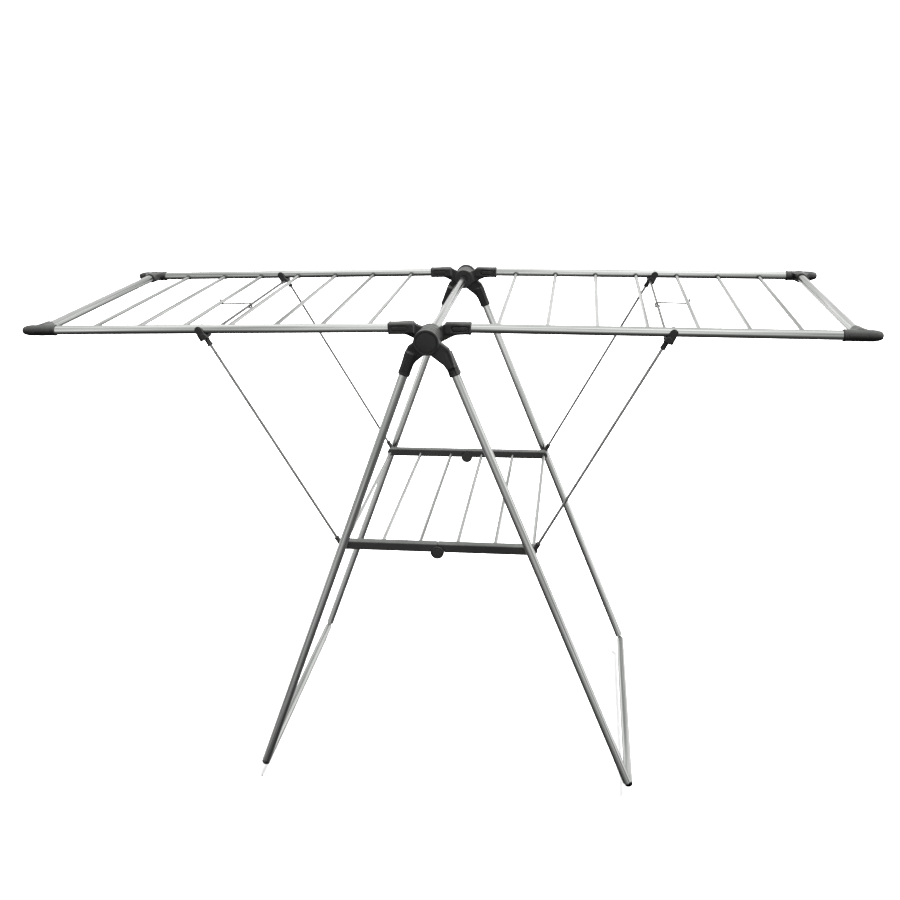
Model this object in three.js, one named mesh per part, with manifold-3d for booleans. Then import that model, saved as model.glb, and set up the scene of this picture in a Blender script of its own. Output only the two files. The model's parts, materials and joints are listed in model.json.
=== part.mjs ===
// A folding clothes drying rack with two fold-down wings and a folding shelf, in millimetres, +Z up.
// The origin is on the floor under the middle of the hub axle. X runs along the wings, Y along the
// axle, with the front at -Y. The right half, turned half a turn about Z, makes the left half.

import * as THREE from 'three';
import { mergeVertices } from 'three/addons/utils/BufferGeometryUtils.js';
import Module from 'manifold-3d';

const wasm = await Module();
wasm.setup();

// ---- Driving dimensions ----

// Stock
const tubeRadius = 8; // rails, legs, cross tubes and axle
const tubeWall = 1;
const rungRadius = 3.5;
const rungWall = 0.8;
const rodRadius = 2.5; // the bent strut frames
const wireRadius = 1.5; // the latch links
const fitGap = 0.3; // between pieces that touch
const socketWall = 1.7; // plastic around a tube in a connector
const sleeveWall = 1.9; // plastic around a strut rod

// Hub
const hubEyeThickness = 11.4;
const hubEyeGap = 0.4;
const hubStackInset = 4.9; // middle of the innermost eye, inward of the rail axis
const hubEyeWall = 12; // from the axle to the rim of an eye
const hubCapRadius = 22;
const hubCapThickness = 12.4;
const capRecess = 7; // depth of the axle's seat in a cap
const axleEndPlay = 2;
const armSocketRadius = 10.3;
const socketFlatWall = 1; // plastic either side of the tube, across the depth
const socketFloor = 6; // solid plastic before the bore of a hub socket
const outermostLevel = 3; // eyes are stacked along the axle at levels 0 to 3

// Wings, measured from the hub axis along the wing
const wingReach = 736;
const wingDroop = 0.75; // degrees below level
const railRise = 14.4; // rail axis above the hub axis
const railHalfDepth = 254;
const wingSocketStart = 27;
const wingSocketEnd = 71;
const rungCount = 7;
const firstRungPlace = 113;
const lastRungGap = 81; // last rung to outer cross tube
const rungDrop = 3; // rung axis below the rail axis
const rungInsertion = 4;

// Corner connectors, the same part on the wings and the feet
const connectorTip = 37; // cross tube axis to pointed end
const connectorSleeve = 27; // cross tube axis to open end
const connectorBranch = 29; // rail axis to the end of the side socket
const branchWall = 3.5; // plastic around the cross tube, more than round the rail
const connectorShoulder = 17; // cross tube axis to where the point begins
const pointFullness = 0.72; // 1 is an ellipse, less is blunter
const crossTubeInset = 4; // from the rail axis to the end of the cross tube

// Legs, measured from the hub axis along the leg
const legSpread = 21.2; // degrees from upright
const legLength = 994;
const legOffset = 19; // leg axis outward of the hub axis
const legClearance = 3.5; // between the rail and leg tubes across the depth
const legSocketStart = 33;
const legSocketEnd = 75;
const footFlat = 1.5; // depth of the flat worn on each pointed foot

// Shelf
const shelfAlongLeg = 436.4; // hub axis to shelf pivot along the leg
const barHeight = 16.5;
const barDepth = 16;
const knuckleRadius = 12.4;
const knuckleGap = 0.4;
const knucklePinRadius = 2;
const shelfRungShares = [1 / 5, 3 / 5, 1]; // of the way from the middle to the pivot
const shelfPinRadius = 3;

// Struts, between the shelf pivots and the rails
const strutInset = 4.5; // strut plane outward of the rail axis
const clipPlace = 39.5; // clip beyond the fourth rung, along the rail
const crossRodSetback = 9; // cross rod inward of the clip
const crossRodDrop = 12.2; // cross rod below the rail axis
const strutBendRadius = 7;
const strutSleeveLength = 13;
const strutEyeRadius = 6.3;
const strutEyeThickness = 6.6;
const strutToBar = 1.7; // between the eye and the shelf bar
const strutRodStart = 9.5; // from the pivot to the end of the rod
const clipEarRadius = 6.8;
const clipEarThickness = 2.6;
const clipEarLength = 19; // rail axis to the square foot of an ear, along the strut
const clipEarFootOffset = -4.5; // middle of the foot, outboard of the rod
const clipEarGap = 0.5; // between an ear and the rail
const clipWebWall = 3.2;
const clipSleeveLength = 18; // from the cross rod down the strut
const clipFinReach = 7.6; // fin on the sleeve, towards the hub
const clipFinLength = 10;
const clipFinWidth = 4;
const latchHookRung = 5;
const latchPlaceInDepth = 8;
const latchGap = 0.5; // between the wire and what it hooks

// Facets round a circle
const tubeSides = 12;
const rungSides = 8;
const rodSides = 8;
const wireSides = 6;
const eyeSides = 20;

// ---- Values worked out from them ----

const rad = THREE.MathUtils.degToRad;
const socketRadius = tubeRadius + socketWall;
const branchRadius = tubeRadius + branchWall;
const legHalfDepth = railHalfDepth + 2 * tubeRadius + legClearance;
const outerTubePlace = wingReach - connectorTip;
const rungPitch = (outerTubePlace - lastRungGap - firstRungPlace) / (rungCount - 1);
const rungPlace = (number) => firstRungPlace + (number - 1) * rungPitch;
const footTubePlace = legLength - connectorTip;
const tubeEndSetback = tubeRadius + 2 * fitGap; // from the cross tube's axis to the end of a rail
const eyeRadius = tubeRadius + hubEyeWall;
const eyePitch = hubEyeThickness + hubEyeGap;
const eyeCentre = (level) => railHalfDepth - hubStackInset + level * eyePitch;
const capStart = eyeCentre(outermostLevel) + hubEyeThickness / 2 + hubEyeGap;
const capEnd = capStart + hubCapThickness;

// The pointed foot is cut level, so the hub stands one cut lower than the full leg would put it
const spread = rad(legSpread);
const hubHeight = legLength * Math.cos(spread) - legOffset * Math.sin(spread) - footFlat;
const shelfPivotX = legOffset * Math.cos(spread) + shelfAlongLeg * Math.sin(spread);
const shelfPivotZ = legOffset * Math.sin(spread) - shelfAlongLeg * Math.cos(spread);

const strutPlane = railHalfDepth + strutInset;
const barOuter = strutPlane - strutEyeThickness / 2 - strutToBar;
const barMiddle = barOuter - barDepth / 2;
const barInner = barOuter - barDepth;
const hingeDrop = barHeight / 2 + knuckleGap;

// In the wing's own frame: X along the wing, Z square to it
const clipReach = rungPlace(4) + clipPlace;
const crossRod = new THREE.Vector3(clipReach - crossRodSetback, 0, railRise - crossRodDrop);
const droop = rad(wingDroop);
const crossRodWorld = crossRod.clone().applyAxisAngle(new THREE.Vector3(0, 1, 0), droop);
const strutRise = crossRodWorld.z - shelfPivotZ;
const strutRun = crossRodWorld.x - shelfPivotX;
const strutLength = Math.hypot(strutRun, strutRise);
const strutAngle = Math.atan2(strutRise, strutRun);

// ---- Materials ----

function finish(color, roughness, metalness) {
  return new THREE.MeshStandardMaterial({ color, roughness, metalness });
}

const aluminium = finish(0xc9cccb, 0.32, 1);
const steel = finish(0xaeb2b2, 0.3, 1);
const blackPlastic = finish(0x151617, 0.45, 0);
const shelfPaint = finish(0x2c2f2e, 0.4, 0.2);

// ---- Solids ----

const vec = (x, y, z) => new THREE.Vector3(x, y, z);

// A closed three.js geometry as a solid that can be cut and joined
function solid(geometry) {
  geometry.deleteAttribute('normal');
  geometry.deleteAttribute('uv');
  const merged = mergeVertices(geometry, 1e-4);
  const index = merged.index.array;
  const triangles = [];
  for (let i = 0; i < index.length; i += 3) {
    const [a, b, c] = [index[i], index[i + 1], index[i + 2]];
    if (a !== b && b !== c && c !== a) triangles.push(a, b, c);
  }
  return new wasm.Manifold(new wasm.Mesh({
    numProp: 3,
    vertProperties: merged.attributes.position.array,
    triVerts: Uint32Array.from(triangles),
  }));
}

function mesh(name, material, shape) {
  const { vertProperties, triVerts } = shape.getMesh();
  const geometry = new THREE.BufferGeometry();
  geometry.setAttribute('position', new THREE.BufferAttribute(Float32Array.from(vertProperties), 3));
  geometry.setIndex(new THREE.BufferAttribute(Uint32Array.from(triVerts), 1));
  geometry.computeVertexNormals();
  const piece = new THREE.Mesh(geometry, material);
  piece.name = name;
  return piece;
}

// A round bar between two points
function bar(radius, from, to, sides) {
  const axis = to.clone().sub(from);
  const geometry = new THREE.CylinderGeometry(radius, radius, axis.length(), sides);
  geometry.applyQuaternion(new THREE.Quaternion().setFromUnitVectors(vec(0, 1, 0), axis.clone().normalize()));
  geometry.translate(...from.clone().add(to).multiplyScalar(0.5).toArray());
  return solid(geometry);
}

// The cut that lets a round bar of the given radius in with the fit gap on every facet
function bore(radius, from, to, sides) {
  return bar((radius + fitGap) / Math.cos(Math.PI / sides), from, to, sides);
}

function pipe(radius, wall, from, to, sides) {
  const over = to.clone().sub(from).normalize();
  const inside = bar(radius - wall, from.clone().sub(over), to.clone().add(over), sides);
  return bar(radius, from, to, sides).subtract(inside);
}

// An outline of [x, z] points in the XZ plane, filled between two depths in Y
function plate(outline, nearY, farY) {
  const shape = new THREE.Shape(outline.map(([x, z]) => new THREE.Vector2(x, z)));
  const geometry = new THREE.ExtrudeGeometry(shape, { depth: farY - nearY, bevelEnabled: false });
  geometry.rotateX(Math.PI / 2);
  geometry.translate(0, farY, 0);
  return solid(geometry);
}

// Points half way round a centre in the XZ plane, on the side away from a second point
function halfTurn(centre, facing, radius, steps) {
  const start = Math.atan2(facing[1] - centre[1], facing[0] - centre[0]) + Math.PI / 2;
  const points = [];
  for (let i = 0; i <= steps; i += 1) {
    const angle = start + (Math.PI * i) / steps;
    points.push([centre[0] + radius * Math.cos(angle), centre[1] + radius * Math.sin(angle)]);
  }
  return points;
}

// An outline with round ends about two points of the XZ plane
function roundedSlot(from, to, radius, nearY, farY) {
  return plate([...halfTurn(from, to, radius, 8), ...halfTurn(to, from, radius, 8)], nearY, farY);
}

// An outline with a round end about one point of the XZ plane and a square end at another
function tongue(from, to, radius, nearY, farY) {
  return plate([...halfTurn(from, to, radius, 8), ...halfTurn(to, from, radius, 1)], nearY, farY);
}

// A line through knots, sampled once at each knot, so that only its bends get short steps
class KnotPath extends THREE.Curve {
  constructor(knots) {
    super();
    this.knots = knots;
  }

  getPoint(t, target = new THREE.Vector3()) {
    const last = this.knots.length - 1;
    const place = Math.min(Math.max(t, 0), 1) * last;
    const knot = Math.min(Math.floor(place), last - 1);
    return target.lerpVectors(this.knots[knot], this.knots[knot + 1], place - knot);
  }

  getPointAt(u, target) {
    return this.getPoint(u, target);
  }

  getTangentAt(u, target = new THREE.Vector3()) {
    const last = this.knots.length - 1;
    const knot = Math.round(u * last);
    const before = this.knots[Math.max(knot - 1, 0)];
    const after = this.knots[Math.min(knot + 1, last)];
    const here = this.knots[knot];
    const into = here.clone().sub(before).normalize();
    const out = after.clone().sub(here).normalize();
    return target.addVectors(into, out).normalize();
  }
}

function bentBar(radius, knots, sides) {
  const section = new THREE.Shape();
  for (let i = 0; i < sides; i += 1) {
    const angle = (2 * Math.PI * i) / sides;
    const method = i === 0 ? 'moveTo' : 'lineTo';
    section[method](radius * Math.cos(angle), radius * Math.sin(angle));
  }
  section.closePath();
  const steps = knots.length - 1;
  return solid(new THREE.ExtrudeGeometry(section, { steps, extrudePath: new KnotPath(knots) }));
}

// Points on an arc about a centre, in the plane of two unit directions, angles in degrees
function arc(centre, radius, startDeg, endDeg, steps, along, across) {
  const points = [];
  for (let i = 0; i <= steps; i += 1) {
    const angle = rad(startDeg + ((endDeg - startDeg) * i) / steps);
    const point = centre.clone();
    point.addScaledVector(along, radius * Math.cos(angle));
    point.addScaledVector(across, radius * Math.sin(angle));
    points.push(point);
  }
  return points;
}

// ---- Sub-parts ----

// Distances outward from the middle as a low and high Y, at the front (-1) or rear (1) end
function across(end, from, to) {
  return [end * from, end * to].sort((a, b) => a - b);
}

// Plastic connector about a tube end that comes along -X, with a side socket along Y for the
// cross tube and a pointed end towards +X. The cross tube's axis passes through its origin.
function connector(sideTowards) {
  const profile = [[0, -connectorSleeve], [socketRadius, -connectorSleeve]];
  const pointSteps = 6;
  for (let i = 0; i <= pointSteps; i += 1) {
    const angle = (Math.PI / 2) * (i / pointSteps);
    const along = connectorShoulder + (connectorTip - connectorShoulder) * Math.sin(angle);
    profile.push([i === pointSteps ? 0 : socketRadius * Math.cos(angle) ** pointFullness, along]);
  }
  const points = profile.map(([r, along]) => new THREE.Vector2(r, along));
  const geometry = new THREE.LatheGeometry(points, tubeSides);
  geometry.rotateZ(-Math.PI / 2);
  const sideEnd = sideTowards * connectorBranch;
  const branch = bar(branchRadius, vec(0, 0, 0), vec(0, sideEnd, 0), tubeSides);
  const mainBoreEnd = vec(fitGap - tubeEndSetback, 0, 0);
  const mainBore = bore(tubeRadius, vec(-connectorSleeve - 1, 0, 0), mainBoreEnd, tubeSides);
  const sideBoreEnd = vec(0, sideTowards * (crossTubeInset - fitGap), 0);
  const sideBore = bore(tubeRadius, sideBoreEnd, vec(0, sideEnd + sideTowards, 0), tubeSides);
  return solid(geometry).add(branch).subtract(mainBore).subtract(sideBore);
}

// Plastic arm: an eye on the axle, and a socket for a tube along +X at the given rise. The web
// between them keeps to the eye's own share of the depth, so that stacked arms can turn.
function hubArm({ end, level, tubeDepth, rise, socketStart, socketEnd, outline }) {
  const eyeFrom = eyeCentre(level) - hubEyeThickness / 2;
  const eyeTo = eyeCentre(level) + hubEyeThickness / 2;
  const flat = tubeRadius + socketFlatWall;
  const webTo = level === outermostLevel ? eyeTo : Math.min(eyeTo, tubeDepth + flat);
  const eye = bar(eyeRadius, vec(0, end * eyeFrom, 0), vec(0, end * eyeTo, 0), eyeSides);
  const web = plate(outline, ...across(end, Math.max(eyeFrom, tubeDepth - flat), webTo));
  const start = vec(socketStart, end * tubeDepth, rise);
  const stop = vec(socketEnd, end * tubeDepth, rise);
  const reach = 2 * socketEnd;
  const slab = [[0, rise - reach], [reach, rise - reach], [reach, rise + reach], [0, rise + reach]];
  const socket = bar(armSocketRadius, start, stop, tubeSides)
    .intersect(plate(slab, ...across(end, tubeDepth - flat, tubeDepth + flat)));
  const axleBore = bore(tubeRadius, vec(0, end * (eyeFrom - 1), 0), vec(0, end * (eyeTo + 1), 0), tubeSides);
  const boreStart = start.clone().setX(socketStart + socketFloor);
  const socketBore = bore(tubeRadius, boreStart, stop.clone().setX(socketEnd + 1), tubeSides);
  return eye.add(web).add(socket).subtract(axleBore).subtract(socketBore);
}

// Outlines of the webs, as [along the tube, square to it]
const wingArmOutline = [
  [8, -16], [19, -8], [52, railRise - 9], [58, railRise - 4], [58, railRise + 6],
  [44, railRise + 10], [31, railRise + 9.6], [14, 13.5],
];
const legArmOutline = [
  [-2, -16], [17, -9], [50, legOffset - 9], [60, legOffset - 5], [60, legOffset + 6],
  [40, legOffset + 10], [26, legOffset + 9.6], [10, 17],
];

// The wing's frame starts on the hub axis, with X along the wing and Z square to it
function wing({ name, ends }) {
  const group = new THREE.Group();
  const railStart = wingSocketStart + socketFloor + fitGap;
  const railEnd = outerTubePlace - tubeEndSetback;
  const rungAxis = railRise - rungDrop;
  ends.forEach(({ end, endName }) => {
    const y = end * railHalfDepth;
    let rail = pipe(tubeRadius, tubeWall, vec(railStart, y, railRise), vec(railEnd, y, railRise), tubeSides);
    for (let number = 1; number <= rungCount; number += 1) {
      const holeStart = y - end * (tubeRadius + 1);
      rail = rail.subtract(bore(rungRadius, vec(rungPlace(number), holeStart, rungAxis),
        vec(rungPlace(number), y, rungAxis), rungSides));
    }
    group.add(mesh(`${name}_wing_${endName}_rail`, aluminium, rail));
    group.add(mesh(`${name}_wing_${endName}_hub_arm`, blackPlastic, hubArm({
      end,
      level: end < 0 ? 1 : 0,
      tubeDepth: railHalfDepth,
      rise: railRise,
      socketStart: wingSocketStart,
      socketEnd: wingSocketEnd,
      outline: wingArmOutline,
    })));
    const corner = mesh(`${name}_wing_${endName}_corner`, blackPlastic, connector(-end));
    corner.position.set(outerTubePlace, y, railRise);
    group.add(corner);
  });
  const halfTube = railHalfDepth - crossTubeInset;
  group.add(mesh(`${name}_wing_outer_tube`, aluminium, pipe(tubeRadius, tubeWall,
    vec(outerTubePlace, -halfTube, railRise), vec(outerTubePlace, halfTube, railRise), tubeSides)));
  const halfRung = railHalfDepth - tubeRadius + rungInsertion;
  for (let number = 1; number <= rungCount; number += 1) {
    const x = rungPlace(number);
    group.add(mesh(`${name}_wing_rung_${number}`, aluminium, pipe(rungRadius, rungWall,
      vec(x, -halfRung, rungAxis), vec(x, halfRung, rungAxis), rungSides)));
  }
  group.rotation.y = droop;
  return group;
}

// The leg's frame starts on the hub axis, with X down the leg and Z outward
function legPair({ name, ends }) {
  const group = new THREE.Group();
  const tubeStart = legSocketStart + socketFloor + fitGap;
  const tubeEnd = footTubePlace - tubeEndSetback;
  const legDown = Math.PI / 2 - spread;
  ends.forEach(({ end, endName }) => {
    const y = end * legHalfDepth;
    const pinFrom = vec(shelfAlongLeg, y, legOffset);
    const pinTo = vec(shelfAlongLeg, end * (barOuter + fitGap), legOffset);
    const tubeFrom = vec(tubeStart, y, legOffset);
    const tubeTo = vec(tubeEnd, y, legOffset);
    const leg = pipe(tubeRadius, tubeWall, tubeFrom, tubeTo, tubeSides)
      .add(bar(shelfPinRadius, pinFrom, pinTo, rungSides));
    group.add(mesh(`${name}_${endName}_leg`, aluminium, leg));
    group.add(mesh(`${name}_${endName}_leg_hub_arm`, blackPlastic, hubArm({
      end,
      level: end < 0 ? outermostLevel : outermostLevel - 1,
      tubeDepth: legHalfDepth,
      rise: legOffset,
      socketStart: legSocketStart,
      socketEnd: legSocketEnd,
      outline: legArmOutline,
    })));
    // What lies under the floor, seen from the foot, is cut off its pointed end
    const under = new THREE.BoxGeometry(2 * legLength, 4 * socketRadius, connectorTip);
    under.translate(0, 0, -connectorTip / 2 - hubHeight);
    under.rotateY(-legDown);
    under.translate(-footTubePlace, 0, -legOffset);
    const foot = mesh(`${name}_${endName}_foot`, blackPlastic, connector(-end).subtract(solid(under)));
    foot.position.set(footTubePlace, y, legOffset);
    group.add(foot);
  });
  const halfTube = legHalfDepth - crossTubeInset;
  group.add(mesh(`${name}_foot_tube`, aluminium, pipe(tubeRadius, tubeWall,
    vec(footTubePlace, -halfTube, legOffset), vec(footTubePlace, halfTube, legOffset), tubeSides)));
  group.rotation.y = legDown;
  return group;
}

// Front and rear struts and the cross rod under the rails are one rod, bent twice
function strutKnots() {
  const corner = strutLength - strutBendRadius;
  const side = strutPlane - strutBendRadius;
  const along = vec(1, 0, 0);
  const inDepth = vec(0, 1, 0);
  return [
    vec(strutRodStart, -strutPlane, 0),
    ...arc(vec(corner, -side, 0), strutBendRadius, -90, 0, 5, along, inDepth),
    ...arc(vec(corner, side, 0), strutBendRadius, 0, 90, 5, along, inDepth),
    vec(strutRodStart, strutPlane, 0),
  ];
}

// Clip at the top of a strut: two ears either side of the rail, joined under it by a web that
// holds the bend of the rod, and a sleeve down the rod
function strutClip(end) {
  const railTurn = -(strutAngle + droop);
  const alongRail = vec(Math.cos(railTurn), 0, Math.sin(railTurn));
  const squareToRail = vec(-alongRail.z, 0, alongRail.x);
  const ear = vec(strutLength, 0, 0)
    .addScaledVector(alongRail, crossRodSetback)
    .addScaledVector(squareToRail, crossRodDrop);
  const earTop = [ear.x, ear.z];
  const earFoot = [ear.x - clipEarLength, clipEarFootOffset];
  const outerFace = railHalfDepth + tubeRadius + clipEarGap;
  const innerFace = railHalfDepth - tubeRadius - clipEarGap;
  const outermost = outerFace + clipEarThickness;
  const innermost = innerFace - clipEarThickness;
  const outerEar = tongue(earTop, earFoot, clipEarRadius, ...across(end, outerFace, outermost));
  const innerEar = tongue(earTop, earFoot, clipEarRadius, ...across(end, innermost, innerFace));
  const webFoot = [earFoot[0], 0];
  const webRadius = rodRadius + clipWebWall;
  const web = tongue([strutLength, 0], webFoot, webRadius, ...across(end, innermost, outermost));
  const finOutline = [[strutLength, 0], [strutLength, clipFinReach], [strutLength - clipFinLength, 0]];
  const finSide = clipFinWidth / 2;
  const fin = plate(finOutline, ...across(end, strutPlane - finSide, strutPlane + finSide));
  const sleeveFrom = vec(strutLength - clipSleeveLength, end * strutPlane, 0);
  const sleeveTo = vec(strutLength, end * strutPlane, 0);
  const sleeve = bar(rodRadius + sleeveWall, sleeveFrom, sleeveTo, rungSides);
  const railMiddle = ear.clone().setY(end * railHalfDepth);
  const railSpace = bore(tubeRadius, railMiddle.clone().addScaledVector(alongRail, -2 * clipEarLength),
    railMiddle.clone().addScaledVector(alongRail, 2 * clipEarLength), tubeSides);
  const rodSpace = bentBar((rodRadius + fitGap) / Math.cos(Math.PI / rodSides), strutKnots(), rodSides);
  return outerEar.add(innerEar).add(web).add(fin).add(sleeve).subtract(railSpace).subtract(rodSpace);
}

// Plastic end at the foot of a strut: an eye on the shelf pin and a sleeve up the rod
function strutEnd(end) {
  const eyeFrom = vec(0, end * strutPlane - strutEyeThickness / 2, 0);
  const eyeTo = vec(0, end * strutPlane + strutEyeThickness / 2, 0);
  const beyond = vec(0, 1, 0);
  const sleeveEnd = strutRodStart + strutSleeveLength;
  const onRod = (along) => vec(along, end * strutPlane, 0);
  return bar(strutEyeRadius, eyeFrom, eyeTo, rungSides)
    .add(bar(rodRadius + sleeveWall, onRod(strutEyeRadius / 2), onRod(sleeveEnd), rungSides))
    .subtract(bore(shelfPinRadius, eyeFrom.clone().sub(beyond), eyeTo.clone().add(beyond), rungSides))
    .subtract(bore(rodRadius, onRod(strutRodStart - fitGap), onRod(sleeveEnd + 1), rodSides));
}

// The strut's frame starts at the shelf pivot, with X up the strut and Z square to it
function struts({ name, ends }) {
  const group = new THREE.Group();
  group.add(mesh(`${name}_strut_frame`, steel, bentBar(rodRadius, strutKnots(), rodSides)));
  ends.forEach(({ end, endName }) => {
    group.add(mesh(`${name}_${endName}_strut_clip`, blackPlastic, strutClip(end)));
    group.add(mesh(`${name}_${endName}_strut_end`, blackPlastic, strutEnd(end)));
  });
  group.position.set(shelfPivotX, 0, shelfPivotZ);
  group.rotation.y = -strutAngle;
  return group;
}

// Bent wire that wraps round the cross rod and hooks under a rung, in the wing's frame
function latchLink({ name }) {
  const along = vec(1, 0, 0);
  const up = vec(0, 0, 1);
  const rodCentre = crossRod.clone().setY(latchPlaceInDepth);
  const rungCentre = vec(rungPlace(latchHookRung), latchPlaceInDepth, railRise - rungDrop);
  const ringRadius = rodRadius + latchGap + wireRadius;
  const hookRadius = rungRadius + latchGap + wireRadius;
  const knots = [
    ...arc(rodCentre, ringRadius, 345, 90, 12, along, up),
    ...arc(rungCentre, hookRadius, 270, 395, 7, along, up),
  ];
  const group = new THREE.Group();
  group.add(mesh(`${name}_latch_link`, steel, bentBar(wireRadius, knots, wireSides)));
  group.rotation.y = droop;
  return group;
}

// Half a shelf: two bars and three rungs, with X outward from the knuckles at the middle. Each
// bar ends in a knuckle of half its depth, outer at the front and inner at the rear, so that
// two halves lap. The outer knuckle carries the pin.
function shelfHalf({ name }) {
  const half = barHeight / 2;
  const outline = [[fitGap, -half], [shelfPivotX, -half]];
  const endSteps = 8;
  for (let i = 1; i < endSteps; i += 1) {
    const angle = -Math.PI / 2 + (Math.PI * i) / endSteps;
    outline.push([shelfPivotX + half * Math.cos(angle), half * Math.sin(angle)]);
  }
  outline.push([shelfPivotX, half], [fitGap, half]);
  const round = (radius, [from, to], sides) => (
    bar(radius, vec(0, from, -hingeDrop), vec(0, to, -hingeDrop), sides)
  );
  const barWithKnuckle = (end) => {
    const isOuter = end < 0;
    const lapFace = knuckleGap / 2;
    const own = isOuter
      ? across(end, barMiddle + lapFace, barOuter)
      : across(end, barInner, barMiddle - lapFace);
    const cleared = isOuter
      ? across(end, barInner - 1, barMiddle + lapFace)
      : across(end, barMiddle - lapFace, barOuter + 1);
    const shape = plate(outline, ...across(end, barInner, barOuter))
      .subtract(round(knuckleRadius + knuckleGap, cleared, eyeSides))
      .add(round(knuckleRadius, own, eyeSides));
    if (isOuter) return shape.add(round(knucklePinRadius, across(end, barInner + 1, barOuter - 1), rodSides));
    const pinHole = (knucklePinRadius + fitGap) / Math.cos(Math.PI / rodSides);
    return shape.subtract(round(pinHole, across(end, barInner - 1, barMiddle), rodSides));
  };
  let frame = barWithKnuckle(-1).add(barWithKnuckle(1));
  shelfRungShares.forEach((share) => {
    const x = share * shelfPivotX;
    const reach = barInner + rungInsertion;
    frame = frame.add(bar(rungRadius, vec(x, -reach, 0), vec(x, reach, 0), rungSides));
  });
  const group = new THREE.Group();
  group.add(mesh(`${name}_shelf_half`, shelfPaint, frame));
  group.position.z = shelfPivotZ;
  return group;
}

function axle() {
  const group = new THREE.Group();
  const recess = capStart + capRecess;
  const axleEnd = recess - axleEndPlay;
  group.add(mesh('axle_tube', aluminium,
    pipe(tubeRadius, tubeWall, vec(0, -axleEnd, 0), vec(0, axleEnd, 0), tubeSides)));
  [['front', -1], ['rear', 1]].forEach(([endName, end]) => {
    const cap = bar(hubCapRadius, vec(0, end * capStart, 0), vec(0, end * capEnd, 0), eyeSides)
      .subtract(bore(tubeRadius, vec(0, end * (capStart - 1), 0), vec(0, end * recess, 0), tubeSides));
    group.add(mesh(`${endName}_hub_cap`, blackPlastic, cap));
  });
  return group;
}

// ---- The rack ----

const sides = [
  { name: 'right', turn: 0, ends: [{ end: -1, endName: 'front' }, { end: 1, endName: 'rear' }] },
  { name: 'left', turn: Math.PI, ends: [{ end: -1, endName: 'rear' }, { end: 1, endName: 'front' }] },
];

const rack = new THREE.Group();
const atHub = new THREE.Group();
atHub.position.z = hubHeight;
atHub.add(axle());
sides.forEach((side) => {
  const halfRack = new THREE.Group();
  halfRack.rotation.z = side.turn;
  halfRack.add(wing(side), legPair(side), struts(side), latchLink(side), shelfHalf(side));
  atHub.add(halfRack);
});
rack.add(atHub);

export default rack;
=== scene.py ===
# Looks of a folding clothes drying rack, built round its CAD frame. Shapes are worked out in
# millimetres in each body's own space, and become metres as their meshes are made.

import json
import math

import bpy
import numpy as np
from mathutils import Matrix, Vector


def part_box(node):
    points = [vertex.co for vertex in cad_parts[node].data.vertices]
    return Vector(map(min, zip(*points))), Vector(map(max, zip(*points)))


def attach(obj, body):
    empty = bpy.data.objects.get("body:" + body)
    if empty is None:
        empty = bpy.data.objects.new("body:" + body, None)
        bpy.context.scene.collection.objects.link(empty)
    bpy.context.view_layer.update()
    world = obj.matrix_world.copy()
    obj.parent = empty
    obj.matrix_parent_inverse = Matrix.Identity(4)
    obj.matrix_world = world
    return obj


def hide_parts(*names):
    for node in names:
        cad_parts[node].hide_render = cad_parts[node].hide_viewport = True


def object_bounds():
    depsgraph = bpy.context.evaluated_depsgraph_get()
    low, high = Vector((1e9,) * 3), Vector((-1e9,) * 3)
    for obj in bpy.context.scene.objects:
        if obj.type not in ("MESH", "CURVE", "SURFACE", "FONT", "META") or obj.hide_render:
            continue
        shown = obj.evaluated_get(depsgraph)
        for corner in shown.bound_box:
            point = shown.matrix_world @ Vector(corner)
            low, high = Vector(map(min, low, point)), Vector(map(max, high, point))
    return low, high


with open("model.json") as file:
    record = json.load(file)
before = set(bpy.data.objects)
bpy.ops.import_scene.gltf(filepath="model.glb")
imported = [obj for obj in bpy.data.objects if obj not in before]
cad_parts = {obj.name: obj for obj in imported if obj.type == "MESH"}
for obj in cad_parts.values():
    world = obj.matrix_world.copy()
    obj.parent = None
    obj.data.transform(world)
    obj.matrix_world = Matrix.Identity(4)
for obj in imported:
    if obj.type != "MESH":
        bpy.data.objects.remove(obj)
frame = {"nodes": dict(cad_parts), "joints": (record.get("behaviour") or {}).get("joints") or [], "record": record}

cad_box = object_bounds()

# ---- Sizes in millimetres, which the CAD nodes share ----

MM = 0.001
TUBE_RADIUS = 8.0
TUBE_WALL = 1.0
RUNG_RADIUS = 3.5
RUNG_WALL = 0.8
ROD_RADIUS = 2.5
WIRE_RADIUS = 1.5
FIT_GAP = 0.3  # between pieces that touch

HUB_EYE_RADIUS = 20.0
HUB_EYE_THICKNESS = 11.4
HUB_EYE_PITCH = 11.8
OUTERMOST_LEVEL = 3  # eyes are stacked along the axle at levels 0 to 3
SOCKET_HALF_DEPTH = 9.0  # of a hub socket
SOCKET_HALF_HEIGHT = 10.3
SOCKET_FLOOR = 6.0  # solid plastic before the tube's seat

CONNECTOR_RADIUS = 9.7
CONNECTOR_SHOULDER = 17.0  # cross tube axis to where the point begins
CONNECTOR_TIP = 37.0
CONNECTOR_SLEEVE = 27.0  # cross tube axis to the open end
CONNECTOR_BRANCH = 29.0  # rail axis to the end of the side socket
BRANCH_RADIUS = 11.5
CROSS_TUBE_INSET = 4.0  # from the rail axis to the end of the cross tube
POINT_FULLNESS = 0.72  # 1 is an ellipse, less is blunter

RUNG_DROP = 3.0  # rungs run this far below the middle of a rail
LATCH_GAP = 0.5  # between the wire link and what it goes round
LATCHED_RUNG = 5

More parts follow.
